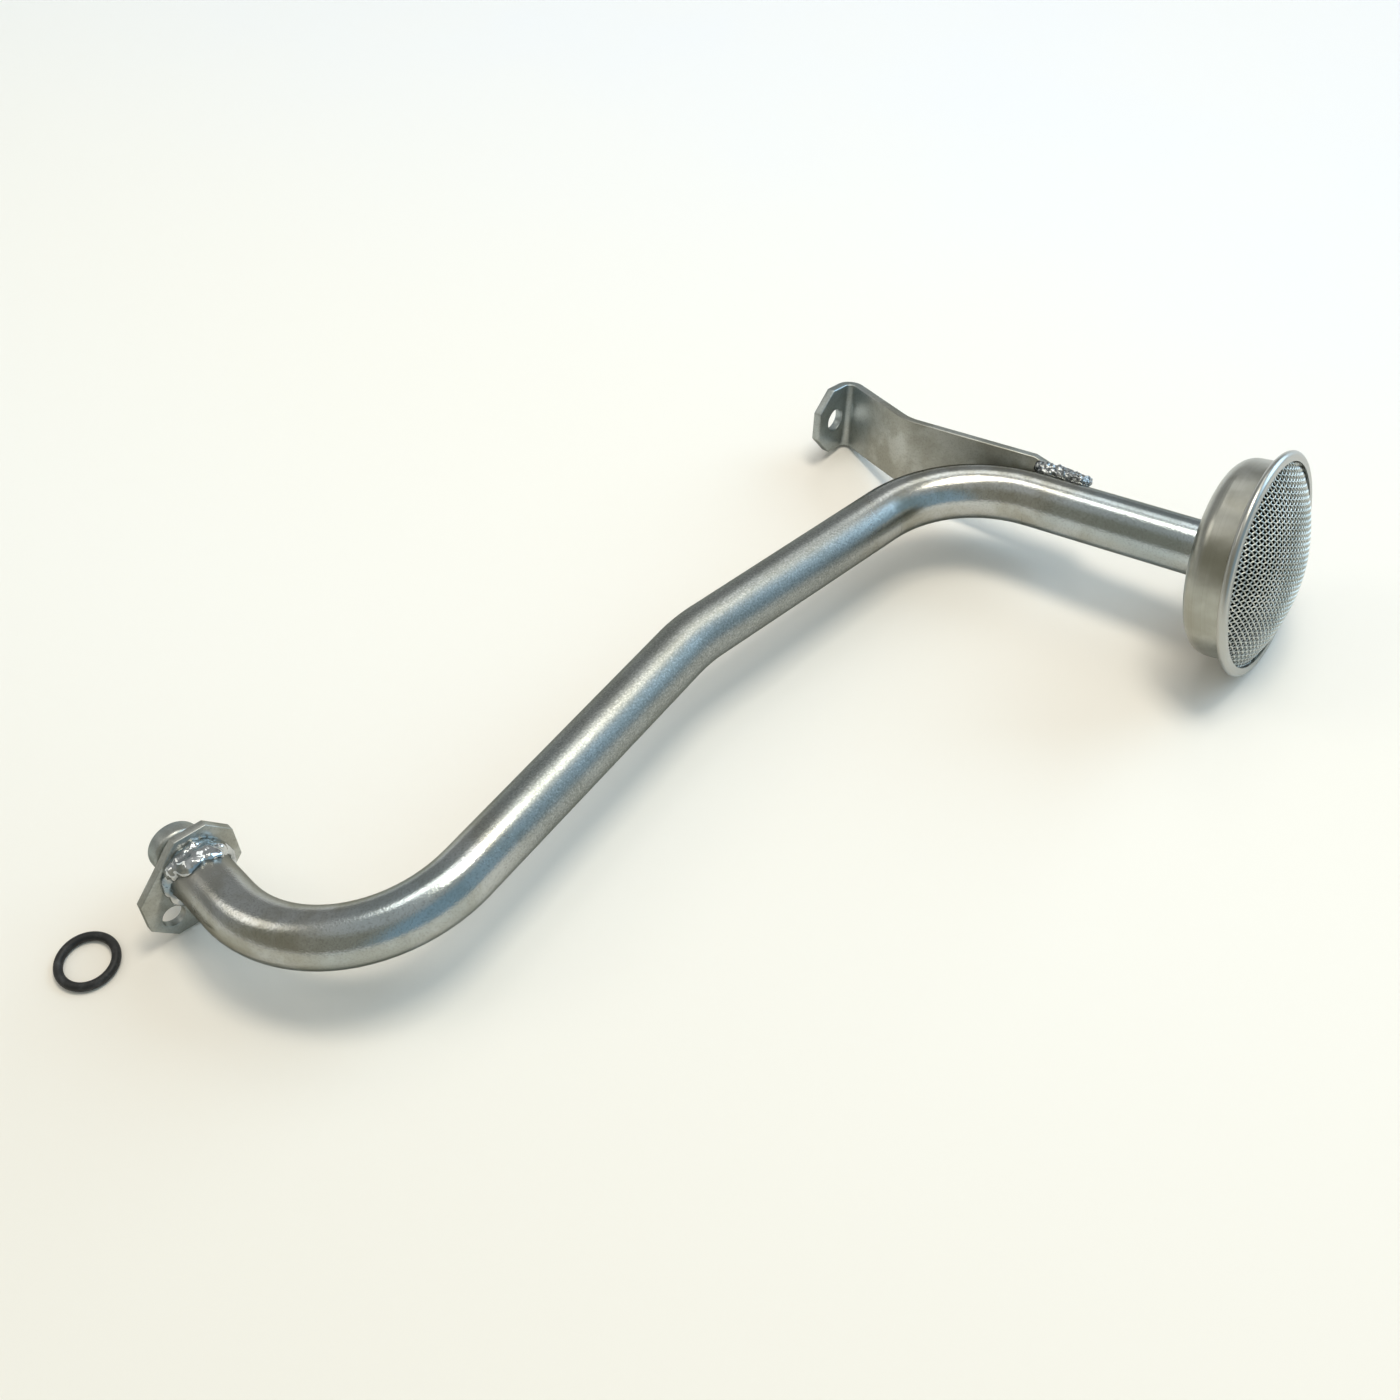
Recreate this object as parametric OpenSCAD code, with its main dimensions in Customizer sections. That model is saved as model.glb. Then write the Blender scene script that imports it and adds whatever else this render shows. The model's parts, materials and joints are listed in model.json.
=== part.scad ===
// Oil pickup tube: a bent steel tube with a flanged spigot at one end and a
// domed wire strainer at the other. It lies on the floor, at rest on its
// flange, its bracket and the strainer's lip. Millimetres, +Z up.

/* [Tube] */
// Outside diameter of the tube
tube_d = 19; // [17:0.5:21]
// Wall thickness of the tube
tube_wall = 1.5; // [1:0.1:2]
// Straight length from the flange to the first bend
run_1 = 20; // [15:0.5:30]
// Angle of the first bend
bend_1 = 100; // [90:1:110]
// Centre-line radius of the first bend
bend_1_r = 47; // [40:1:55]
// Straight length between the first and second bends
run_2 = 103; // [80:0.5:130]
// Turn of the bending plane before the second bend
turn_2 = -159; // [-170:1:-150]
// Angle of the second bend
bend_2 = 12; // [6:1:18]
// Centre-line radius of the second bend
bend_2_r = 60; // [40:1:80]
// Straight length between the second and third bends
run_3 = 82.5; // [60:0.5:110]
// Turn of the bending plane before the third bend
turn_3 = -17.5; // [-22:0.5:-12]
// Angle of the third bend
bend_3 = 72.5; // [65:0.5:80]
// Centre-line radius of the third bend
bend_3_r = 45; // [40:1:55]
// Straight length from the third bend to the strainer cup
run_4 = 66; // [50:0.5:90]

/* [Spigot] */
// Thickness of the collar that butts on the tube's end
collar_t = 1.5; // [1:0.1:3]
// Diameter of the bead at the spigot's end
bead_d = 17.2; // [16.4:0.1:18]
// Length of the bead
bead_len = 6.5; // [5:0.5:8]
// Diameter of the groove for the O-ring
groove_d = 15; // [14.6:0.1:15.6]
// Length of the groove
groove_len = 5; // [4:0.5:9]
// Bore through the spigot
spigot_bore = 12; // [9:0.5:12.5]
// Length of the flare where that bore meets the tube's
flare = 2; // [1:0.5:3]

/* [Flange] */
// Thickness of the flange plate
flange_t = 3; // [2:0.5:5]
// Width of the flange plate
flange_w = 25; // [25:0.5:32]
// From the tube's centre to the plate's plain end
flange_back = 15.3; // [14:0.1:20]
// From the tube's centre to the plate's bolt end
flange_front = 22.5; // [22:0.1:28]
// Cut taken off each corner of the plate and the bracket's ends
corner_cut = 7.5; // [4:0.5:8]
// From the tube's centre to the bolt hole
flange_hole_at = 16.4; // [16.3:0.1:18]
// Diameter of the flange's bolt hole
flange_hole_d = 7.4; // [5:0.1:7.5]
// Turn of the plate about the tube
flange_turn = -142; // [-155:1:-130]

/* [Bracket] */
// Thickness of the bracket's flat bar
bar_t = 3.2; // [2:0.1:5]
// Width of the flat bar
bar_w = 25.5; // [22:0.5:30]
// Turn of the bar about the tube
bar_turn = 168.5; // [160:0.5:176]
// Height of the bar's upper edge over the line where it meets the tube
bar_rise = 11; // [9:0.5:13]
// Length of the bar beside the tube, towards the strainer
bar_lap = 19; // [16:0.5:24]
// Length of the bar from the third bend's end to its first fold
bar_reach = 51; // [44:0.5:60]
// Angle of the first fold, away from the tube
fold_a = 29; // [20:1:35]
// Length of the flat between the folds
bar_mid = 27.5; // [20:0.5:36]
// Angle of the second fold, back to the tab
fold_b = 109.5; // [100:0.5:118]
// Length of the tab
tab_len = 14.5; // [14.5:0.5:24]
// From the tab's end to its bolt hole
tab_hole_at = 10; // [9:0.5:10]
// Diameter of the tab's bolt hole
tab_hole_d = 8.5; // [6:0.1:9]

/* [Strainer] */
// Angle between the strainer's axis and the tube
cup_tilt = 10; // [0:0.5:12]
// Turn of that tilt about the tube
cup_turn = -63; // [-90:1:-40]
// Radius of the cup's wall
cup_r = 33.5; // [31:0.5:34]
// Depth of the cup, from its back to the middle of the lip
cup_depth = 16; // [13:0.5:20]
// Radius of the cup's back edge
cup_round = 6; // [4:0.5:7]
// Thickness of the cup's sheet
cup_t = 1.2; // [0.8:0.1:1.5]
// Outside radius of the curled lip
lip_r = 37.9; // [37.5:0.1:40]
// Radius of the lip's curl
curl_r = 1.5; // [1.4:0.1:1.6]
// Thickness of the lip's sheet
lip_t = 0.7; // [0.6:0.1:0.8]
// Inside radius of the lip, where the screen shows
lip_in = 34.7; // [34.4:0.1:35]
// Height of the screen's dome over the lip
dome_h = 11; // [8:0.5:14]
// Thickness of the screen
screen_t = 1.2; // [0.8:0.1:1.2]
// Spacing of the screen's gaps
mesh_pitch = 6.4; // [6:0.1:9]
// Width of each gap
mesh_gap = 4.6; // [3:0.1:4.8]
// Turn of the weave about the strainer's axis
mesh_turn = 12; // [0:1:90]

/* [O-ring] */
// Inside diameter of the O-ring
ring_id = 14.7; // [14:0.1:16]
// Diameter of its cord
ring_cord = 2.9; // [2:0.1:3.5]
// Where it lies on the floor
ring_at = [-196.7, -99.5]; // [-220:0.1:220]

/* [Lay] */
// Where the flange's near face lies on the floor's plan
lay_at = [-160.8, -80.6]; // [-200:0.1:200]
// Heading of the strainer seen from the flange
lay_heading = 13.7; // [0:0.1:30]

/* [Hidden] */
$fn = 96;
fit_gap = 0.05;
bend_swell = 0.03;
tube_r = tube_d / 2;
bore_d = tube_d - 2 * tube_wall;
spigot_len = collar_t + groove_len + bead_len;
fold_a_r = 15;
fold_b_r = 4;
steel = "#b9bcbc";
bright = "#c9cdd0";
nickel = "#b4b1a6";

// Moves and turns as matrices, to follow the tube from run to run.
function shift(v) = [[1, 0, 0, v.x], [0, 1, 0, v.y], [0, 0, 1, v.z], [0, 0, 0, 1]];
function spin_y(a) = [[cos(a), 0, sin(a), 0], [0, 1, 0, 0], [-sin(a), 0, cos(a), 0], [0, 0, 0, 1]];
function spin_z(a) = [[cos(a), -sin(a), 0, 0], [sin(a), cos(a), 0, 0], [0, 0, 1, 0], [0, 0, 0, 1]];
function along(l) = shift([0, 0, l]);
function bent(r, a) = shift([r, 0, 0]) * spin_y(a) * shift([-r, 0, 0]);
function swing(r, a) = shift([0, r, 0]) * spin_z(a) * shift([0, -r, 0]);
function spot(m, p) = [for (i = [0:2]) (m * [p.x, p.y, p.z, 1])[i]];
function heading(m, v) = [for (i = [0:2]) (m * [v.x, v.y, v.z, 0])[i]];
function unit(v) = v / norm(v);

// Stations along the tube: x points into the bend, z along the tube.
flange_m = shift([0, 0, 0]);
bend_1_m = flange_m * along(run_1);
run_2_m = bend_1_m * bent(bend_1_r, bend_1);
bend_2_m = run_2_m * along(run_2) * spin_z(turn_2);
run_3_m = bend_2_m * bent(bend_2_r, bend_2);
bend_3_m = run_3_m * along(run_3) * spin_z(turn_3);
run_4_m = bend_3_m * bent(bend_3_r, bend_3);
cup_m = run_4_m * along(run_4) * spin_z(cup_turn) * spin_y(cup_tilt) * spin_z(-cup_turn);
plate_m = flange_m * spin_z(flange_turn);
// The bar's frame: x runs along the bar, away from the strainer, y leaves the tube, z goes down the bar.
bar_m = run_4_m * spin_z(bar_turn) * [[0, 1, 0, 0], [0, 0, -1, 0], [-1, 0, 0, 0], [0, 0, 0, 1]];

// The fold points of the bar in its own frame, on the middle of its thickness.
fold_a_m = shift([bar_reach, tube_r + fit_gap + bar_t / 2, 0]);
fold_b_m = fold_a_m * swing(fold_a_r, fold_a) * shift([bar_mid, 0, 0]);
tab_m = fold_b_m * swing(-fold_b_r, -fold_b);
bar_top = -bar_rise;
bar_low = bar_w - bar_rise;

// The lay: the floor passes through a flange corner and the bracket's outer fold, and touches the lip.
flange_foot = spot(plate_m, [flange_front - corner_cut, flange_w / 2, -flange_t]);
function fold_foot(a) = spot(bar_m * fold_b_m * shift([0, -fold_b_r, 0]) * spin_z(-a),
                             [0, fold_b_r + bar_t / 2, bar_low]);
bar_foot = fold_foot(fold_b / 2);
lip_c = spot(cup_m, [0, 0, cup_depth]);
lip_axis = heading(cup_m, [0, 0, 1]);
feet_line = unit(bar_foot - flange_foot);
rough_up = [0, 1, 0];
up_a = unit(rough_up - (rough_up * feet_line) * feet_line);
up_b = cross(feet_line, up_a);
function up_at(t) = cos(t) * up_a + sin(t) * up_b;
function lip_low(u) = lip_c * u - (lip_r - curl_r) * sqrt(1 - pow(lip_axis * u, 2)) - curl_r;
function lip_gap(t) = lip_low(up_at(t)) - flange_foot * up_at(t);
function level(lo, hi, n) = let (mid = (lo + hi) / 2)
    n == 0 ? mid : lip_gap(mid) < 0 ? level(mid, hi, n - 1) : level(lo, mid, n - 1);
up = up_at(level(-40, 40, 40));
ahead = unit(lip_c - (lip_c * up) * up);
east = cos(lay_heading) * ahead - sin(lay_heading) * cross(up, ahead);
north = cross(up, east);
feet = concat([flange_foot * up, lip_low(up)], [for (a = [0:fold_b / 8:fold_b]) fold_foot(a) * up]);
lay = [concat(east, lay_at.x), concat(north, lay_at.y), concat(up, -min(feet)), [0, 0, 0, 1]];

module tube_bend(r, a, d) {
    translate([r, 0, 0])
        rotate([90, 0, 180])
            rotate_extrude(angle = a)
                translate([r, 0])
                    circle(d = d);
}

// The bends are a touch fuller than the runs, which end a little way inside them.
module tube_path(d, before, after) {
    lap = 1;
    full = d + 2 * bend_swell;
    multmatrix(flange_m) translate([0, 0, -before]) cylinder(d = d, h = run_1 + before + lap);
    multmatrix(bend_1_m) tube_bend(bend_1_r, bend_1, full);
    multmatrix(run_2_m * along(-lap)) cylinder(d = d, h = run_2 + 2 * lap);
    multmatrix(bend_2_m) tube_bend(bend_2_r, bend_2, full);
    multmatrix(run_3_m * along(-lap)) cylinder(d = d, h = run_3 + 2 * lap);
    multmatrix(bend_3_m) tube_bend(bend_3_r, bend_3, full);
    multmatrix(run_4_m * along(-lap)) cylinder(d = d, h = run_4 + lap + after);
}

module pickup_tube() {
    tail = 2.5;
    color(steel)
        multmatrix(lay)
            difference() {
                tube_path(tube_d, flange_t, tail);
                tube_path(bore_d, flange_t + 1, tail + 1);
            }
}

// Half section of the turned spigot: its collar, the O-ring's groove and the bead.
module spigot_profile() {
    round_r = 1.5;
    bead_y = collar_t + groove_len;
    square([tube_r, collar_t]);
    square([groove_d / 2, bead_y + bead_len / 2]);
    translate([0, bead_y])
        square([bead_d / 2 - round_r, bead_len]);
    translate([0, bead_y + round_r])
        square([bead_d / 2, bead_len - 2 * round_r]);
    for (y = [round_r, bead_len - round_r])
        translate([bead_d / 2 - round_r, bead_y + y])
            circle(r = round_r);
}

module spigot() {
    lead = 0.5;
    slope = (bore_d - spigot_bore) / flare;
    color(steel)
        multmatrix(lay * flange_m)
            translate([0, 0, -flange_t])
                rotate([180, 0, 0])
                    difference() {
                        rotate_extrude()
                            spigot_profile();
                        translate([0, 0, -1])
                            cylinder(d = spigot_bore, h = spigot_len + 2);
                        translate([0, 0, -lead])
                            cylinder(d1 = bore_d + slope * lead, d2 = spigot_bore, h = flare + lead);
                    }
}

module cut_plate(x0, x1, w) {
    h = w / 2;
    c = corner_cut;
    polygon([[x0 + c, -h], [x1 - c, -h], [x1, c - h], [x1, h - c],
             [x1 - c, h], [x0 + c, h], [x0, h - c], [x0, c - h]]);
}

module flange() {
    color(steel)
        multmatrix(lay * plate_m)
            translate([0, 0, -flange_t])
                difference() {
                    linear_extrude(flange_t)
                        cut_plate(-flange_back, flange_front, flange_w);
                    translate([0, 0, -1])
                        cylinder(d = tube_d + 2 * fit_gap, h = flange_t + 2);
                    translate([flange_hole_at, 0, -1])
                        cylinder(d = flange_hole_d, h = flange_t + 2);
                }
}

// Fillet bead round the tube, bulging a little between its two legs.
module fillet(leg, height) {
    rotate_extrude()
        translate([tube_r + fit_gap, 0])
            polygon([[0, 0], [leg, 0], [leg * 0.94, height * 0.3], [leg * 0.7, height * 0.66],
                     [leg * 0.32, height * 0.93], [0, height]]);
}

module flange_weld() {
    color(bright)
        multmatrix(lay * flange_m)
            fillet(2.9, 3.6);
}

// The bar's folded outline, seen along its width: out along one side and back along the other.
module bar_outline() {
    steps = 8;
    line = concat([shift([-bar_lap, tube_r + fit_gap + bar_t / 2, 0])],
                  [for (i = [0:steps]) fold_a_m * swing(fold_a_r, fold_a * i / steps)],
                  [for (i = [0:steps]) fold_b_m * swing(-fold_b_r, -fold_b * i / steps)],
                  [tab_m * shift([tab_len, 0, 0])]);
    side = [for (m = line) spot(m, [0, bar_t / 2, 0])];
    other = [for (i = [len(line) - 1:-1:0]) spot(line[i], [0, -bar_t / 2, 0])];
    polygon([for (p = concat(side, other)) [p.x, p.y]]);
}

// A prism across the bar's thickness, from an outline in length and width.
module bar_cut(points) {
    rotate([90, 0, 0])
        translate([0, 0, -2 * bar_t])
            linear_extrude(4 * bar_t)
                polygon(points);
}

module bracket() {
    slope = 24;
    c = corner_cut;
    color(steel)
        multmatrix(lay * bar_m)
            difference() {
                translate([0, 0, bar_top])
                    linear_extrude(bar_w)
                        bar_outline();
                translate([-bar_lap, tube_r, 0]) {
                    bar_cut([[-1, -3], [0, -3], [slope, bar_top], [slope, bar_top - 1], [-1, bar_top - 1]]);
                    bar_cut([[-1, bar_low - c], [0, bar_low - c], [c, bar_low], [c, bar_low + 1], [-1, bar_low + 1]]);
                }
                multmatrix(tab_m * shift([tab_len, 0, 0])) {
                    bar_cut([[1, bar_top + c], [0, bar_top + c], [-c, bar_top], [-c, bar_top - 1], [1, bar_top - 1]]);
                    bar_cut([[1, bar_low - c], [0, bar_low - c], [-c, bar_low], [-c, bar_low + 1], [1, bar_low + 1]]);
                    translate([-tab_hole_at, 0, (bar_top + bar_low) / 2])
                        rotate([90, 0, 0])
                            cylinder(d = tab_hole_d, h = 4 * bar_t, center = true);
                }
            }
}

// A run of weld drops along the bar's sloping edge, trimmed to the tube and the bar.
module bracket_weld() {
    drops = 7;
    from = [1 - bar_lap, tube_r - 0.9, -3.6];
    to = [0.5, tube_r - 2.5, -8.4];
    color(bright)
        multmatrix(lay * bar_m)
            difference() {
                for (i = [0:drops - 1])
                    translate(from + (to - from) * i / (drops - 1))
                        sphere(r = 2.5 + 0.25 * (i % 2));
                rotate([0, -90, 0])
                    translate([0, 0, -20])
                        cylinder(d = tube_d + 2 * fit_gap, h = 60);
                translate([-bar_lap - 5, tube_r + fit_gap, bar_top])
                    cube([bar_lap + 30, 2 * bar_t, bar_w]);
            }
}

module cup_profile() {
    h = cup_depth;
    seat = lip_r - curl_r;
    difference() {
        union() {
            square([cup_r - cup_round, cup_t]);
            intersection() {
                translate([cup_r - cup_round, cup_round]) circle(r = cup_round);
                translate([cup_r - cup_round, 0]) square(cup_round);
            }
            translate([cup_r - cup_t, cup_round]) square([cup_t, h - curl_r - cup_round + lip_t]);
        }
        translate([cup_r - cup_round, cup_round]) circle(r = cup_round - cup_t);
    }
    translate([cup_r - cup_t, h - curl_r]) square([seat - cup_r + cup_t, lip_t]);
    translate([lip_in, h + curl_r - lip_t]) square([seat - lip_in, lip_t]);
    difference() {
        translate([seat, h]) circle(r = curl_r);
        translate([seat, h]) circle(r = curl_r - lip_t);
        translate([seat - 2 * curl_r, h - curl_r - 1]) square([2 * curl_r, 2 * curl_r + 2]);
    }
}

module strainer_cup() {
    color(nickel)
        multmatrix(lay)
            difference() {
                multmatrix(cup_m)
                    rotate_extrude()
                        cup_profile();
                multmatrix(run_4_m * along(run_4 - 10))
                    cylinder(d = tube_d + 2 * fit_gap, h = 20);
            }
}

module cup_braze() {
    color(nickel)
        multmatrix(lay)
            difference() {
                multmatrix(run_4_m * along(run_4 + 2) * [[1, 0, 0, 0], [0, -1, 0, 0], [0, 0, -1, 0], [0, 0, 0, 1]])
                    fillet(2.2, 5);
                multmatrix(cup_m)
                    cylinder(r = cup_r, h = cup_depth);
            }
}

// Domed screen: a spherical wall with square gaps, its flat edge held in the lip.
module strainer_screen() {
    edge_r = lip_in - 0.5;
    ball_r = (edge_r * edge_r + dome_h * dome_h) / (2 * dome_h);
    ball_z = cup_depth + dome_h - ball_r;
    cells = floor(edge_r / mesh_pitch);
    color(nickel)
        multmatrix(lay * cup_m)
            difference() {
                union() {
                    difference() {
                        intersection() {
                            translate([0, 0, ball_z]) sphere(r = ball_r);
                            translate([0, 0, cup_depth - screen_t / 2]) cylinder(r = edge_r, h = 2 * dome_h);
                        }
                        translate([0, 0, ball_z]) sphere(r = ball_r - screen_t);
                    }
                    translate([0, 0, cup_depth - screen_t / 2])
                        difference() {
                            cylinder(r = lip_r - curl_r, h = screen_t);
                            translate([0, 0, -1]) cylinder(r = edge_r - 2, h = screen_t + 2);
                        }
                }
                rotate(mesh_turn)
                    for (i = [-cells:cells], j = [-cells:cells])
                        if (norm([abs(i) + 0.5, abs(j) + 0.5]) * mesh_pitch < edge_r - 1)
                            translate([i * mesh_pitch, j * mesh_pitch, cup_depth + dome_h])
                                cube([mesh_gap, mesh_gap, 3 * dome_h], center = true);
            }
}

module o_ring() {
    color("#1c1c1c")
        translate([ring_at.x, ring_at.y, ring_cord / 2])
            rotate_extrude()
                translate([(ring_id + ring_cord) / 2, 0])
                    circle(d = ring_cord);
}

pickup_tube();
spigot();
flange();
flange_weld();
bracket();
bracket_weld();
strainer_cup();
cup_braze();
strainer_screen();
o_ring();
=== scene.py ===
import json
import math
import random

import bmesh
import bpy
from mathutils import Matrix, Vector, noise


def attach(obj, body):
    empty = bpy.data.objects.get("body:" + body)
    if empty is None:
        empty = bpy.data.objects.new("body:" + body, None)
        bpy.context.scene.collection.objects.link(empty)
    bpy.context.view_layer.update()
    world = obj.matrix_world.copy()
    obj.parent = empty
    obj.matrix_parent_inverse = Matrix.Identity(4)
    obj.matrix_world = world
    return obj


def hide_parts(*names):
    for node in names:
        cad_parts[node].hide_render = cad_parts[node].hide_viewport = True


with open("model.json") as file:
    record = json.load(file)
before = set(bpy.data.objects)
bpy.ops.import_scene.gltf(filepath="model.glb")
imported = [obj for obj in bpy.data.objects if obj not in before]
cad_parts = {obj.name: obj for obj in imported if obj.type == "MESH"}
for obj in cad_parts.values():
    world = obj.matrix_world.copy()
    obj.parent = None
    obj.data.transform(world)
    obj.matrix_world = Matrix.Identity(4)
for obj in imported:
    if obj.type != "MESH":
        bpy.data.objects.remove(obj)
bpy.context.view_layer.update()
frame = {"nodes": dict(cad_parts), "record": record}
nodes = frame["nodes"]
mounts = {m["name"]: m for m in frame["record"]["mounts"]}
mm = 0.001
print("frame:", len(nodes), "nodes")

# the strainer cup: the middle of its back, its axis, and the axis of the tube that enters it
strainer = {
    "back": Vector((170.0, 12.4774, 33.1361)) * mm, "axis": Vector((0.773344, -0.588777, 0.235117)),
    "tubeAxis": Vector((0.833478, -0.547178, 0.076883)),
}


# one shader value; sums and products of wires add Math nodes
class Wire:
    def __init__(self, tree, socket):
        self.tree = tree
        self.socket = socket

    # any node: its type, its settings, then what goes into its sockets
    def node(self, kind, settings=None, inputs=None, out=0):
        made = self.tree.nodes.new(kind)
        for name, value in (settings or {}).items():
            setattr(made, name, value)
        for name, value in (inputs or {}).items():
            if isinstance(value, Wire):
                self.tree.links.new(value.socket, made.inputs[name])
            else:
                made.inputs[name].default_value = value
        return Wire(self.tree, made.outputs[out])

    def maths(self, how, a, b):
        return self.node("ShaderNodeMath", {"operation": how}, {0: a, 1: b})

    def __add__(self, other):
        return self.maths("ADD", self, other)

    def __radd__(self, other):
        return self.maths("ADD", other, self)

    def __sub__(self, other):
        return self.maths("SUBTRACT", self, other)

    def __rsub__(self, other):
        return self.maths("SUBTRACT", other, self)

    def __mul__(self, other):
        return self.maths("MULTIPLY", self, other)

    def __rmul__(self, other):
        return self.maths("MULTIPLY", other, self)

    def dot(self, way):              # distance along a direction
        return self.node("ShaderNodeVectorMath", {"operation": "DOT_PRODUCT"}, {0: self, 1: way}, "Value")

    def between(self, low, high):    # 0 below low, 1 above high, smooth in the middle
        return self.node("ShaderNodeMapRange", {"interpolation_type": "SMOOTHSTEP"},
                         {"Value": self, "From Min": low, "From Max": high})

    def blend(self, a, b):           # colour a at 0, colour b at 1
        return self.node("ShaderNodeMix", {"data_type": "RGBA"}, {0: self, 6: a, 7: b}, 2)

    def speckle(self, scale, detail=2, rough=0.5):
        return self.node("ShaderNodeTexNoise", None,
                         {"Vector": self, "Scale": scale, "Detail": detail, "Roughness": rough})

    def split(self):                 # x, y and z of a place
        parts = self.node("ShaderNodeSeparateXYZ", None, {"Vector": self}).socket.node.outputs
        return [Wire(self.tree, part) for part in parts]

    def far(self, spot):             # distance from a spot
        return self.node("ShaderNodeVectorMath", {"operation": "DISTANCE"}, {0: self, 1: spot}, "Value")

    def bumped(self, strength, step):
        return self.node("ShaderNodeBump", None, {"Strength": strength, "Distance": step, "Height": self})

    def feed(self, shader, name):
        self.tree.links.new(self.socket, shader.inputs[name])


# a material with its shader, and the place on the piece as a wire
def startFinish(name, fixed):
    finish = bpy.data.materials.new(name)
    finish.use_nodes = True
    tree = finish.node_tree
    shader = tree.nodes["Principled BSDF"]
    for socket, value in fixed.items():
        shader.inputs[socket].default_value = value
    coord = tree.nodes.new("ShaderNodeTexCoord")
    return finish, shader, Wire(tree, coord.outputs["Object"])


zincLook = {
    "clean": (0.49, 0.505, 0.495, 1),
    "dull": (0.38, 0.38, 0.34, 1),
    "blueTint": (0.36, 0.43, 0.46, 1),
    "burnt": (0.35, 0.345, 0.315, 1),
    "fleck": (0.18, 0.185, 0.18, 1),
    "glint": (0.66, 0.68, 0.67, 1),
    "matt": (0.26, 0.28, 0.275, 1),
    "edge": (0.35, 0.35, 0.33, 1),
    "patch": 46, "tint": 15, "grain": 1550, "coarse": 420,    # how many to the metre
    "patchBand": (0.42, 0.6), "tintBand": (0.5, 0.68), "fleckBand": (0.50, 0.64), "glintBand": (0.34, 0.44),
    "tintShare": 0.7, "mattShare": 0.75,
    "fleckShare": (0.25, 0.45), "glintShare": (0.05, 0.4),    # everywhere, and more where it is matt
    "rough": 0.29, "roughSpread": 0.14, "roughMix": (0.6, 0.5), "polish": 0.20,    # mix of patches and grain
    "heatRough": 0.2, "heatBand": (0.35, 0.6), "heatShare": (0.6, 0.4),
    "bump": 0.5, "step": 0.00014, "fineBump": 0.75,
    # spots that welding heated, and polished bends: middle, full inside, gone outside
    "hot": [((-0.1560, -0.0865, 0.0205), 0.008, 0.018)],
    "shiny": [((-0.115, -0.106, 0.026), 0.040, 0.072), ((0.125, 0.042, 0.028), 0.052, 0.085)],
}


# plated steel: cloudy zinc with a fine grain, matt on the long runs and dull where welding heated it
def zincFinish(name, look):
    finish, shader, place = startFinish(name, {"Metallic": 1.0, "Specular Tint": look["edge"]})
    patch = place.speckle(look["patch"], 4, 0.62)
    tint = place.speckle(look["tint"], 2).between(*look["tintBand"])
    grain = place.speckle(look["grain"], 3, 0.6)
    coarse = place.speckle(look["coarse"], 2)
    base = patch.between(*look["patchBand"]).blend(look["clean"], look["dull"])
    colour = (tint * look["tintShare"]).blend(base, look["blueTint"])
    large, small = look["roughMix"]
    rough = look["rough"] + look["roughSpread"] * (patch * large + grain * small)
    matt = look["mattShare"]
    for spot, near, far in look["shiny"]:
        away = place.far(spot).between(near, far)
        rough = rough - (1 - away) * look["polish"]
        matt = away * matt
    if look["shiny"]:
        colour = matt.blend(colour, look["matt"])
    least, more = look["fleckShare"]
    colour = (grain.between(*look["fleckBand"]) * (least + more * matt)).blend(colour, look["fleck"])
    least, more = look["glintShare"]
    colour = ((1 - grain.between(*look["glintBand"])) * (least + more * matt)).blend(colour, look["glint"])
    least, more = look["heatShare"]
    for spot, near, far in look["hot"]:
        heat = (1 - place.far(spot).between(near, far)) * (least + more * patch.between(*look["heatBand"]))
        colour = heat.blend(colour, look["burnt"])
        rough = rough + heat * look["heatRough"]
    colour.feed(shader, "Base Color")
    rough.feed(shader, "Roughness")
    height = grain * look["fineBump"] + coarse * (1 - look["fineBump"])
    height.bumped(look["bump"], look["step"]).feed(shader, "Normal")
    return finish


weldLook = {
    "bright": (0.56, 0.58, 0.59, 1),
    "steel": (0.34, 0.36, 0.365, 1),
    "heatBlue": (0.24, 0.34, 0.42, 1),
    "heat": 150, "skin": 900, "steelBand": (0.42, 0.6), "blueBand": (0.52, 0.72), "blueShare": 0.7,
    "rough": 0.09, "roughSpread": 0.16, "bump": 0.04, "step": 0.0003,
}


# weld metal: bright where it ran, blue where the heat stayed
def weldFinish(name, look):
    finish, shader, place = startFinish(name, {"Metallic": 1.0})
    heat = place.speckle(look["heat"], 3, 0.6)
    skin = place.speckle(look["skin"], 3, 0.6)
    base = heat.between(*look["steelBand"]).blend(look["bright"], look["steel"])
    colour = (heat.between(*look["blueBand"]) * look["blueShare"]).blend(base, look["heatBlue"])
    colour.feed(shader, "Base Color")
    (look["rough"] + look["roughSpread"] * skin * heat).feed(shader, "Roughness")
    skin.bumped(look["bump"], look["step"]).feed(shader, "Normal")
    return finish


cupLook = {
    "warm": (0.34, 0.34, 0.295, 1),
    "pale": (0.49, 0.495, 0.455, 1),
    "stain": (0.21, 0.205, 0.165, 1),
    "lip": (0.44, 0.445, 0.42, 1),
    # painted shade: near-black colour for the cup's inside behind the screen
    "inside": (0.018, 0.026, 0.022, 1),
    "cloud": 48, "grain": 1300, "lines": 520, "stretch": (9, 2),
    "paleBand": (0.35, 0.65), "stainBand": (0.6, 0.8), "stainShare": 0.6,
    "lineBand": (0.45, 0.75), "lineShare": 0.35,
    "rough": 0.21, "cloudRough": 0.10, "lineRough": 0.08, "oilRough": 0.25,
    "bump": 0.16, "step": 0.00012,
    # the wall is rounded about a core line; the mouth is where the lip begins
    "core": 27.5 * mm, "round": 6.0 * mm, "wall": (5.3 * mm, 5.4 * mm),
    "mouth": (14.2 * mm, 14.6 * mm, 14.8 * mm), "lipFrom": (34.0 * mm, 34.4 * mm),
}
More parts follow.
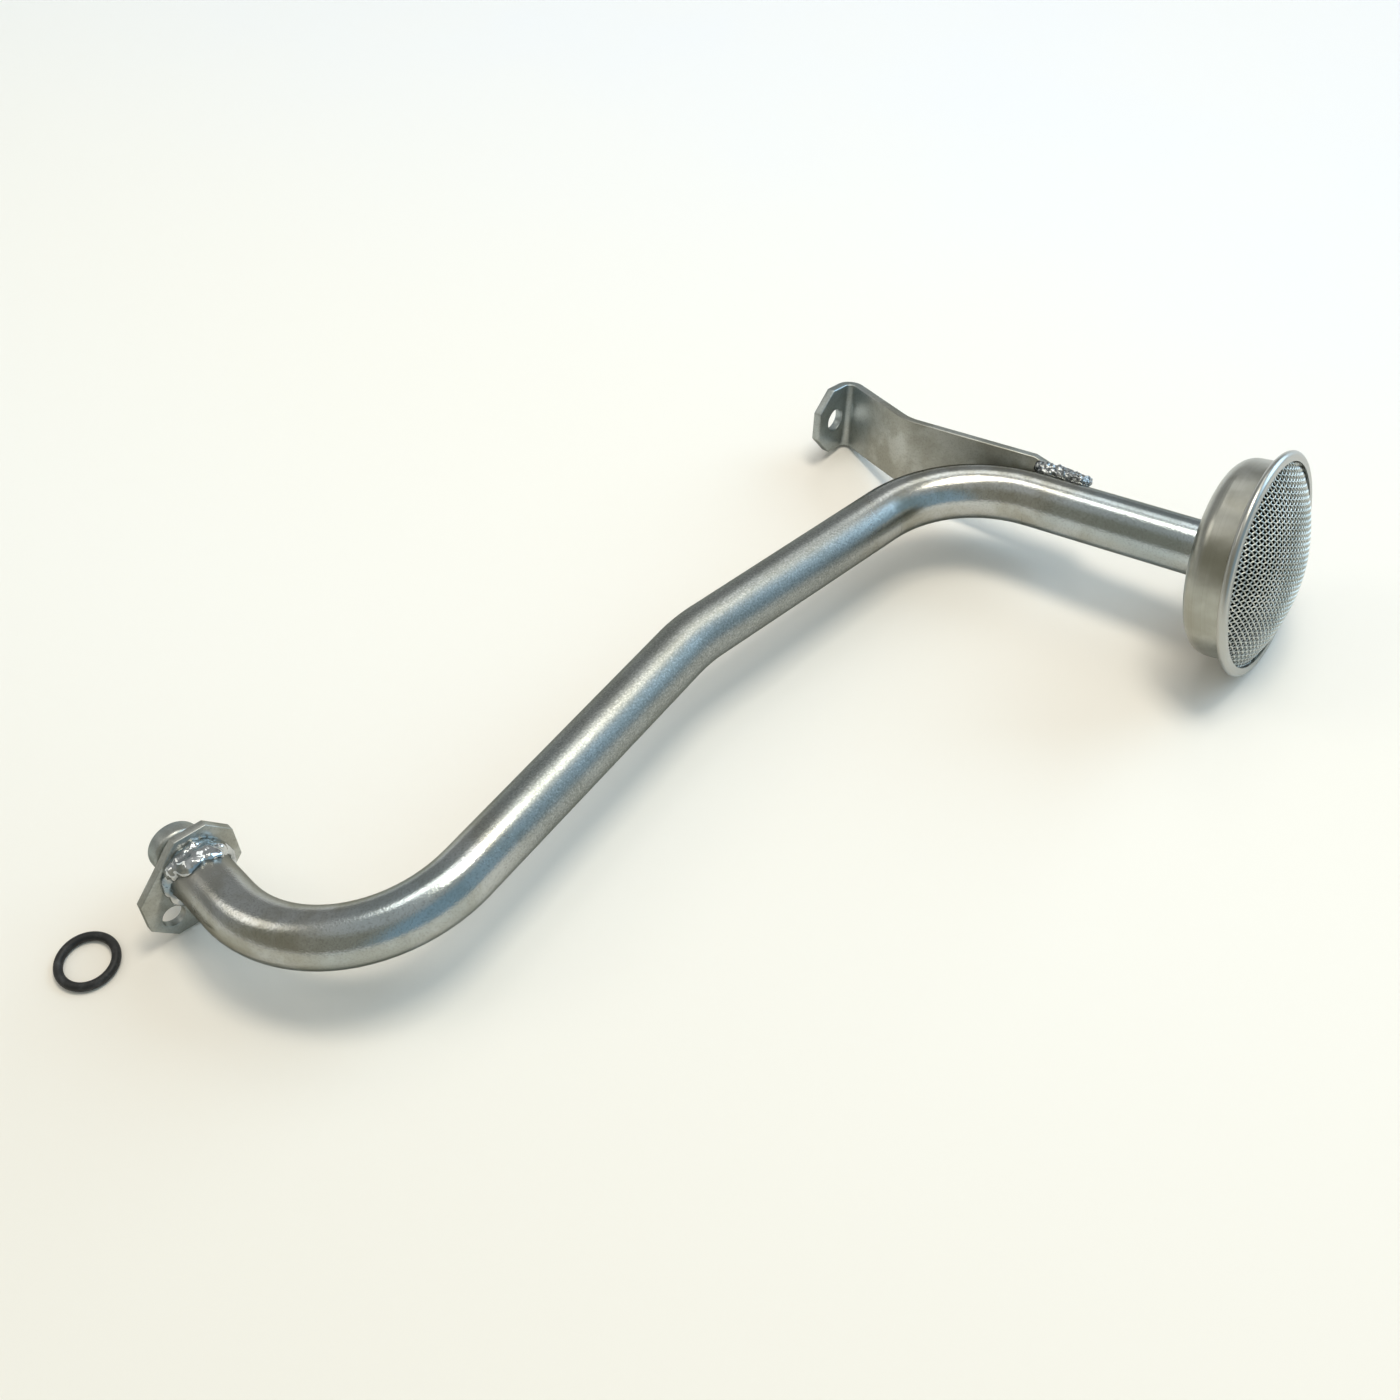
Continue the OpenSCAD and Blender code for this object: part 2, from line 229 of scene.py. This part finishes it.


# brushed nickel outside; behind the screen, painted shade: the inside is coloured near-black, and made rougher
# as oil would make it
def cupFinish(name, look, middle, axis):
    finish, shader, place = startFinish(name, {"Metallic": 1.0})
    cloud = place.speckle(look["cloud"], 4, 0.6)
    grain = place.speckle(look["grain"], 3, 0.6)
    local = place.node("ShaderNodeVectorMath", {"operation": "SUBTRACT"}, {0: place, 1: middle})
    deep = local.dot(axis)
    length = local.far((0, 0, 0))
    out = local.maths("SQRT", length * length - deep * deep, 0)
    alongX, alongY = look["stretch"]
    brush = deep.node("ShaderNodeCombineXYZ", None, {"X": deep * alongX, "Y": out * alongY})
    lines = brush.speckle(look["lines"], 3, 0.7)
    # how far the spot lies from the line that the cup's rounded wall is drawn about
    side = out.maths("MAXIMUM", out - look["core"], 0)
    floor = deep.maths("MINIMUM", deep - look["round"], 0)
    skin = side.maths("SQRT", side * side + floor * floor, 0)
    under, mouth, over = look["mouth"]
    # painted shade: this mask colours the cup's inside near-black; the same mask makes it rougher
    inside = (1 - skin.between(*look["wall"])) * (1 - deep.between(mouth, over))
    base = cloud.between(*look["paleBand"]).blend(look["warm"], look["pale"])
    base = (cloud.between(*look["stainBand"]) * look["stainShare"]).blend(base, look["stain"])
    base = (lines.between(*look["lineBand"]) * look["lineShare"]).blend(base, look["stain"])
    lip = deep.between(under, mouth) * out.between(*look["lipFrom"])
    base = lip.blend(base, look["lip"])
    inside.blend(base, look["inside"]).feed(shader, "Base Color")
    rough = look["rough"] + look["cloudRough"] * cloud + look["lineRough"] * lines + look["oilRough"] * inside
    rough.feed(shader, "Roughness")
    (grain * 0.5 + lines * 0.5).bumped(look["bump"], look["step"]).feed(shader, "Normal")
    return finish


wireLook = {
    "bright": (0.63, 0.64, 0.60, 1),
    "oily": (0.44, 0.455, 0.42, 1),
    "cloud": 70, "grain": 2500, "oilBand": (0.35, 0.7), "rough": 0.20, "roughSpread": 0.2,
}


# drawn wire, here and there with a film of oil
def wireFinish(name, look):
    finish, shader, place = startFinish(name, {"Metallic": 1.0})
    cloud = place.speckle(look["cloud"], 3, 0.6)
    grain = place.speckle(look["grain"], 2)
    cloud.between(*look["oilBand"]).blend(look["bright"], look["oily"]).feed(shader, "Base Color")
    (look["rough"] + look["roughSpread"] * grain).feed(shader, "Roughness")
    return finish


rubberLook = {
    "black": (0.012, 0.012, 0.012, 1),
    "bloom": (0.045, 0.045, 0.046, 1),
    "dust": 300, "grain": 2400, "dustBand": (0.45, 0.75),
    "rough": 0.42, "roughSpread": 0.25, "bump": 0.3, "step": 0.0001, "gloss": 0.4,
}


def rubberFinish(name, look):
    finish, shader, place = startFinish(name, {"Metallic": 0.0, "Specular IOR Level": look["gloss"]})
    dust = place.speckle(look["dust"], 4, 0.65)
    grain = place.speckle(look["grain"], 3)
    dust.between(*look["dustBand"]).blend(look["black"], look["bloom"]).feed(shader, "Base Color")
    (look["rough"] + look["roughSpread"] * dust).feed(shader, "Roughness")
    grain.bumped(look["bump"], look["step"]).feed(shader, "Normal")
    return finish


plateLook = dict(zincLook, clean=(0.47, 0.48, 0.45, 1), dull=(0.36, 0.36, 0.32, 1), patch=60, tint=22,
                 rough=0.32, bump=0.25, mattShare=0, hot=[], shiny=[])
darkLook = dict(weldLook, bright=(0.40, 0.415, 0.42, 1), steel=(0.10, 0.11, 0.115, 1),
                heatBlue=(0.07, 0.085, 0.10, 1), heat=800, skin=1600, rough=0.2, bump=0.5)
brazeLook = dict(cupLook, warm=(0.40, 0.35, 0.27, 1), pale=(0.55, 0.53, 0.48, 1),
                 stain=(0.16, 0.135, 0.10, 1), cloud=260)
zinc = zincFinish("zincTube", zincLook)
plateZinc = zincFinish("zincPlate", plateLook)
weldSkin = weldFinish("weldSkin", weldLook)
darkWeld = weldFinish("darkWeld", darkLook)
braze = cupFinish("braze", brazeLook, strainer["back"], strainer["axis"])
cupSteel = cupFinish("cupSteel", cupLook, strainer["back"], strainer["axis"])
screenWire = wireFinish("screenWire", wireLook)
rubber = rubberFinish("ringRubber", rubberLook)
print("finishes ready")


def dress(node, finish):
    mesh = nodes[node].data
    mesh.materials.clear()
    mesh.materials.append(finish)


# frame of a round piece: its axis is z, and x lies as level as it can
def axisFrame(centre, axis):
    z = Vector(axis).normalized()
    x = Vector((0, 0, 1)).cross(z).normalized()
    y = z.cross(x)
    turn = Matrix((x, y, z)).transposed().to_4x4()
    return Matrix.Translation(Vector(centre)) @ turn


def pieceFrom(bm, name, finish, replaced=(), sharp=None):
    mesh = bpy.data.meshes.new(name)
    bm.to_mesh(mesh)
    bm.free()
    pieceOf(mesh, name, finish, replaced, sharp)


def pieceOf(mesh, name, finish, replaced=(), sharp=None):
    mesh.polygons.foreach_set("use_smooth", [True] * len(mesh.polygons))
    if sharp:
        mesh.set_sharp_from_angle(angle=math.radians(sharp))
    mesh.materials.clear()
    mesh.materials.append(finish)
    piece = bpy.data.objects.new(name, mesh)
    bpy.context.scene.collection.objects.link(piece)
    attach(piece, "root")
    if replaced:
        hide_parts(*replaced)
    print(name, len(mesh.polygons), "faces")


# flat plates get their small edge radius here, from a merged copy of the CAD mesh
plateEdge = {
    "flange": 0.35 * mm, "bracket": 0.4 * mm, "segments": 3,
    "flat": 0.6, "sharpFrom": 32, "shadeFrom": 40,    # degrees
}


def softPlate(node, finish):
    bm = bmesh.new()
    bm.from_mesh(nodes[node].data)
    bmesh.ops.remove_doubles(bm, verts=bm.verts, dist=1e-6)
    bmesh.ops.dissolve_limit(bm, angle_limit=math.radians(plateEdge["flat"]), verts=bm.verts, edges=bm.edges)
    limit = math.radians(plateEdge["sharpFrom"])
    hard = [e for e in bm.edges if len(e.link_faces) == 2 and e.calc_face_angle() > limit]
    bmesh.ops.bevel(bm, geom=hard, offset=plateEdge[node], affect="EDGES", segments=plateEdge["segments"],
                    profile=0.5, material=-1, clamp_overlap=True)
    pieceFrom(bm, node + "Plate", finish, [node], plateEdge["shadeFrom"])


dress("pickup_tube", zinc)
dress("spigot", plateZinc)
dress("strainer_cup", cupSteel)
dress("o_ring", rubber)
softPlate("flange", plateZinc)
softPlate("bracket", plateZinc)
print("tube, spigot, cup, ring and plates dressed")


# how a drop is cut, how far each round of flow goes, and the finer ripples on the lumps
melting = {"cuts": 3, "ease": 0.5, "fineShare": 0.4, "finer": 2.5}


# drops of weld metal, each a spot and a radius, melted into one bead with a lumpy skin
def melt(drops, voxel, flow, lump, ripple):
    bm = bmesh.new()
    for spot, r in drops:
        bmesh.ops.create_icosphere(bm, subdivisions=melting["cuts"], radius=r, matrix=Matrix.Translation(spot))
    mesh = bpy.data.meshes.new("drops")
    bm.to_mesh(mesh)
    bm.free()
    pool = bpy.data.objects.new("drops", mesh)
    bpy.context.scene.collection.objects.link(pool)
    remesh = pool.modifiers.new("melt", "REMESH")
    remesh.mode, remesh.voxel_size = "VOXEL", voxel
    soft = pool.modifiers.new("flow", "SMOOTH")
    soft.factor, soft.iterations = melting["ease"], flow
    done = bpy.data.meshes.new_from_object(pool.evaluated_get(bpy.context.evaluated_depsgraph_get()))
    bpy.data.objects.remove(pool)
    bm = bmesh.new()
    bm.from_mesh(done)
    bm.normal_update()
    for v in bm.verts:
        fine = melting["fineShare"] * noise.noise(v.co * ripple * melting["finer"])
        v.co += v.normal * lump * (noise.noise(v.co * ripple) + fine)
    bmesh.ops.recalc_face_normals(bm, faces=bm.faces)
    return bm


# weld round the tube at the flange: a ring of drops, piled up along the tube on its upper side
# radii and reaches are in mm, and the pile runs from one turn to another, in degrees
flangeBead = {
    "face": Vector((-160.8, -80.6, 19.4413)) * mm, "tubeR": 9.5,
    "ring": 60, "ringR": (1.7, 2.0), "ringSwing": 0.4, "ringOut": (0.1, 0.5), "ringLift": 0.6,
    "pile": 64, "pileFrom": 22, "pileTo": 136, "pileAt": 1.2, "pileReach": 6.6, "pileR": (2.4, 2.9),
    "pileFull": 1.1, "pileShrink": 0.35, "pileNarrow": 0.45, "pileOut": 1.1, "pileSink": 0.55, "pileSwing": 0.4,
    "voxel": 0.30 * mm, "flow": 40, "lump": 0.34 * mm, "ripple": 330, "seed": 11,
}


def makeFlangeBead(s):
    draw = random.Random(s["seed"])
    place = axisFrame(s["face"], -Vector(mounts["spigot"]["axis"]))
    drops = []

    def drop(turn, out, along, r):
        a = math.radians(turn)
        spot = Vector((math.cos(a) * (s["tubeR"] + out), math.sin(a) * (s["tubeR"] + out), along))
        drops.append((place @ (spot * mm), r * mm))

    for i in range(s["ring"]):
        r = draw.uniform(*s["ringR"])
        turn = 360 * (i + draw.uniform(-s["ringSwing"], s["ringSwing"])) / s["ring"]
        drop(turn, r * draw.uniform(*s["ringOut"]), r * s["ringLift"], r)
    middle, half = (s["pileFrom"] + s["pileTo"]) / 2, (s["pileTo"] - s["pileFrom"]) / 2
    for i in range(s["pile"]):
        t = draw.random()    # 0 at the flange, 1 at the far end of the pool
        r = draw.uniform(*s["pileR"]) * (s["pileFull"] - s["pileShrink"] * t)
        spread = 1 - s["pileNarrow"] * t
        turn = middle + half * draw.uniform(-spread, spread)
        out = s["pileOut"] - s["pileSink"] * r + s["pileSwing"] * draw.random()
        drop(turn, out, s["pileAt"] + s["pileReach"] * t, r)
    bm = melt(drops, s["voxel"], s["flow"], s["lump"], s["ripple"])
    pieceFrom(bm, "flangeBead", weldSkin, ["flange_weld"])


makeFlangeBead(flangeBead)

# weld along the bracket's edge: three rows of drops from the tube's top over to the bar
bracketBead = {
    "rows": [((-14.0, 6.6, -8.5), (0.6, 7.0, -7.8), 2.0), ((-14.6, 8.8, -7.6), (2.2, 8.6, -8.4), 2.3),
             ((-14.6, 11.0, -6.6), (-4.0, 11.0, -7.8), 2.0)],
    "x": Vector((-0.833478, 0.547178, -0.076883)), "y": Vector((0.545979, 0.794152, -0.266887)),
    "z": Vector((-0.084978, -0.264421, -0.960656)), "origin": Vector((114.991, 48.591, 28.0618)),
    "drops": 44, "spread": 0.22, "size": (0.82, 0.98),
    "voxel": 0.24 * mm, "flow": 2, "lump": 0.42 * mm, "ripple": 900, "seed": 7,
}


def makeBracketBead(s):
    draw = random.Random(s["seed"])
    place = Matrix((s["x"], s["y"], s["z"])).transposed()
    drops = []
    for start, end, radius in s["rows"]:
        for i in range(s["drops"]):
            local = Vector(start).lerp(Vector(end), i / (s["drops"] - 1))
            local += Vector([draw.uniform(-s["spread"], s["spread"]) for k in range(3)])
            drops.append(((s["origin"] + place @ local) * mm, radius * draw.uniform(*s["size"]) * mm))
    bm = melt(drops, s["voxel"], s["flow"], s["lump"], s["ripple"])
    pieceFrom(bm, "bracketBead", darkWeld, ["bracket_weld"])


makeBracketBead(bracketBead)

# the ring of braze where the tube goes into the cup
brazeRing = {
    "inner": 9.4 * mm, "leg": 2.3 * mm, "height": 4.2 * mm, "sunk": 1.2 * mm, "turns": 160, "points": 12,
    "lump": 0.7 * mm, "swell": 0.3, "wave": 260, "ripple": 700, "rippleShare": 0.4,
}


def makeBrazeRing(s):
    place = axisFrame(strainer["back"], -strainer["tubeAxis"])
    bm = bmesh.new()
    last = None
    for i in range(s["points"]):
        t = i / (s["points"] - 1) * math.pi / 2
        now = bm.verts.new((s["inner"] + s["leg"] * (1 - math.sin(t)), 0,
                            s["height"] * (1 - math.cos(t)) - s["sunk"]))
        if last:
            bm.edges.new((last, now))
        last = now
    bmesh.ops.spin(bm, geom=bm.verts[:] + bm.edges[:], cent=(0, 0, 0), axis=(0, 0, 1), dvec=(0, 0, 0),
                   angle=math.tau, steps=s["turns"], use_merge=True, use_duplicate=False)
    bmesh.ops.remove_doubles(bm, verts=bm.verts, dist=1e-7)
    bmesh.ops.recalc_face_normals(bm, faces=bm.faces)
    bm.normal_update()
    for v in bm.verts:
        wave = noise.noise(v.co * s["wave"]) + s["rippleShare"] * noise.noise(v.co * s["ripple"])
        v.co += v.normal * s["lump"] * (s["swell"] + wave)
    bm.transform(place)
    pieceFrom(bm, "brazeRing", braze, ["cup_braze"])


makeBrazeRing(brazeRing)

# plain weave over the dome: two sets of wires, each going over and under the other
# pitch, wire and the rest are in mm, and lean is the way each set lies, in degrees
wovenScreen = {
    "pitch": (1.53, 1.63), "lean": (0.3, 110.7), "wire": 0.54, "crimp": 0.2, "steps": 4,
    "edge": 34.2, "end": 35.9, "seat": 16.0, "dome": 10.4,
    "dent": 0.35, "dentScale": 0.07, "dentSlice": 5, "margin": 1.2,
}


def makeScreen(s):
    ball = (s["edge"] ** 2 + s["dome"] ** 2) / (2 * s["dome"])
    ballZ = s["seat"] + s["dome"] - ball
    place = axisFrame(strainer["back"], strainer["axis"])
    ways = [Vector((math.cos(math.radians(turn)), math.sin(math.radians(turn)), 0)) for turn in s["lean"]]

    def onDome(flat, lift):
        r = flat.length
        if r < s["edge"]:
            up = Vector((flat.x, flat.y, math.sqrt(ball ** 2 - r ** 2))) / ball
            soft = 1 - (r / s["edge"]) ** 4
            dent = s["dent"] * noise.noise(Vector((flat.x, flat.y, s["dentSlice"])) * s["dentScale"]) * soft
            spot = Vector((0, 0, ballZ)) + up * (ball + dent + lift)
        else:
            spot = Vector((flat.x, flat.y, s["seat"] + lift))
        return place @ (spot * mm)

    curve = bpy.data.curves.new("weave", "CURVE")
    curve.dimensions = "3D"
    curve.bevel_depth, curve.bevel_resolution = s["wire"] / 2 * mm, 1
    curve.use_fill_caps = True
    for across in (False, True):
        cross, gap = s["pitch"][::-1] if across else s["pitch"]
        run, step = ways[::-1] if across else ways
        far = int(s["margin"] * s["end"] / min(s["pitch"]))
        for i in range(-far, far):
            side = (1 if i % 2 else -1) * (-1 if across else 1)
            spots = []
            for k in range(-far * s["steps"], far * s["steps"] + 1):
                u = k * cross / s["steps"]
                flat = step * (i + 0.5) * gap + run * u
                if flat.length < s["end"]:
                    spots.append(onDome(flat, s["crimp"] * side * math.sin(math.pi * u / cross)))
            if len(spots) > 2 * s["steps"]:
                line = curve.splines.new("POLY")
                line.points.add(len(spots) - 1)
                for point, spot in zip(line.points, spots):
                    point.co = (*spot, 1)
    weave = bpy.data.objects.new("weave", curve)
    bpy.context.scene.collection.objects.link(weave)
    mesh = bpy.data.meshes.new_from_object(weave.evaluated_get(bpy.context.evaluated_depsgraph_get()))
    bpy.data.objects.remove(weave)
    pieceOf(mesh, "wovenScreen", screenWire, ["strainer_screen"])


makeScreen(wovenScreen)

# camera where the photograph's was
eye = {
    "at": Vector((-5.6, -339.0, 413.2)) * mm, "pitch": 51.51, "roll": -3.29,
    "focal": 1545.7, "image": 1400, "sensor": 36,    # focal length and image width in pixels
    "nearest": 0.01, "furthest": 50,
}


def makeCamera(s):
    p, r = math.radians(s["pitch"]), math.radians(s["roll"])
    ahead = Vector((0, math.cos(p), -math.sin(p)))
    level, upright = Vector((1, 0, 0)), Vector((0, math.sin(p), math.cos(p)))
    right = math.cos(r) * level + math.sin(r) * upright
    top = math.cos(r) * upright - math.sin(r) * level
    data = bpy.data.cameras.new("eye")
    data.sensor_width = s["sensor"]
    data.lens = s["sensor"] * s["focal"] / s["image"]
    data.clip_start, data.clip_end = s["nearest"], s["furthest"]
    camera = bpy.data.objects.new("eye", data)
    camera.matrix_world = Matrix.Translation(s["at"]) @ Matrix((right, top, -ahead)).transposed().to_4x4()
    bpy.context.scene.collection.objects.link(camera)
    bpy.context.scene.camera = camera


makeCamera(eye)

# the pale sheet, with painted light: tinted warmer at the front left and cooler, as if lit bluish, at the back
# right
paper = {
    "cream": (0.955, 0.915, 0.85, 1),
    "warm": (0.90, 0.835, 0.735, 1),
    "coolLight": (0.905, 0.905, 0.93, 1),
    "size": 3.0, "squares": 8, "rough": 0.9, "gloss": 0.1,
    "coolLean": 0.7, "coolBand": (0.05, 0.5), "coolShare": (0.8, 0.2),
    "warmLean": 0.5, "warmBand": (0.0, 0.35), "warmShare": 0.8,
    "mottle": 9, "mottleBand": (0.3, 0.7),
}


def makeFloor(s):
    skin = {"Roughness": s["rough"], "Specular IOR Level": s["gloss"]}
    finish, shader, place = startFinish("paleSheet", skin)
    x, y = place.split()[:2]
    # painted light: a cool tint toward the back right and a warm tint toward the front left
    coolLight = (x * s["coolLean"] + y).between(*s["coolBand"])
    warm = (0 - x * s["warmLean"] - y).between(*s["warmBand"])
    mottle = place.speckle(s["mottle"], 2).between(*s["mottleBand"])
    base = (warm * s["warmShare"]).blend(s["cream"], s["warm"])
    least, more = s["coolShare"]
    (coolLight * (least + more * mottle)).blend(base, s["coolLight"]).feed(shader, "Base Color")
    bm = bmesh.new()
    bmesh.ops.create_grid(bm, x_segments=s["squares"], y_segments=s["squares"], size=s["size"])
    mesh = bpy.data.meshes.new("paleSheet")
    bm.to_mesh(mesh)
    bm.free()
    mesh.materials.append(finish)
    floor = bpy.data.objects.new("paleSheet", mesh)
    bpy.context.scene.collection.objects.link(floor)


makeFloor(paper)

# the overhead window: its middle, its size, its share of the floor's light, its tint
window = {"at": (0.26, 0.20, 1.40), "size": (0.52, 0.38), "share": 0.385, "tint": (1.0, 0.935, 0.80)}
# far lamps: where each shines from, how wide it looks, its share, its tint
farLamps = {
    "backGlow": {"from": (0.14, 0.66, 0.74), "wide": 20, "share": 0.035, "tint": (1.0, 1.0, 0.96)},
    "leftTop": {"from": (-0.14, 0.31, 0.94), "wide": 14, "share": 0.06, "tint": (1.0, 0.96, 0.88)},
    "leftWarm": {"from": (-0.72, 0.18, 0.66), "wide": 22, "share": 0.04, "tint": (1.0, 0.95, 0.86)},
    "rightCool": {"from": (0.83, 0.42, 0.42), "wide": 46, "share": 0.22, "tint": (0.56, 0.77, 0.96)},
}


def hang(name, data, way, tint):
    data.color = tint
    lamp = bpy.data.objects.new(name, data)
    lamp.rotation_euler = way.to_track_quat("Z", "Y").to_euler()
    bpy.context.scene.collection.objects.link(lamp)
    return lamp


def makeLamps(s, others):
    at = Vector(s["at"])
    way = at.normalized()
    data = bpy.data.lights.new("window", "AREA")
    data.shape = "RECTANGLE"
    data.size, data.size_y = s["size"]
    data.energy = s["share"] * math.pi * math.pi * at.length_squared / way.z
    hang("window", data, way, s["tint"]).location = at
    for name, far in others.items():
        way = Vector(far["from"]).normalized()
        data = bpy.data.lights.new(name, "SUN")
        data.energy = far["share"] * math.pi / way.z
        data.angle = math.radians(far["wide"])
        hang(name, data, way, far["tint"])


makeLamps(window, farLamps)

# the room round the floor: pale along the horizon, darker walls above it
room = {
    "pale": (0.80, 0.785, 0.75, 1), "front": (0.34, 0.33, 0.27, 1), "right": (0.33, 0.47, 0.56, 1),
    "back": (0.35, 0.36, 0.355, 1), "top": (0.55, 0.56, 0.545, 1),
    "rightLean": 0.4, "rightBand": (0.2, 0.65), "backLean": 0.35, "backBand": (0.05, 0.45),
    "topBand": (0.72, 0.92), "horizon": (0.03, 0.1),
}


def makeRoom(s):
    world = bpy.data.worlds.new("room")
    bpy.context.scene.world = world
    world.use_nodes = True
    tree = world.node_tree
    coord = tree.nodes.new("ShaderNodeTexCoord")
    x, y, z = Wire(tree, coord.outputs["Generated"]).split()
    walls = (x - s["rightLean"] * y).between(*s["rightBand"]).blend(s["front"], s["right"])
    walls = (y - s["backLean"] * x).between(*s["backBand"]).blend(walls, s["back"])
    walls = z.between(*s["topBand"]).blend(walls, s["top"])
    z.between(*s["horizon"]).blend(s["pale"], walls).feed(tree.nodes["Background"], "Color")


makeRoom(room)
bpy.context.scene.view_settings.view_transform = "Standard"
print("stage ready")
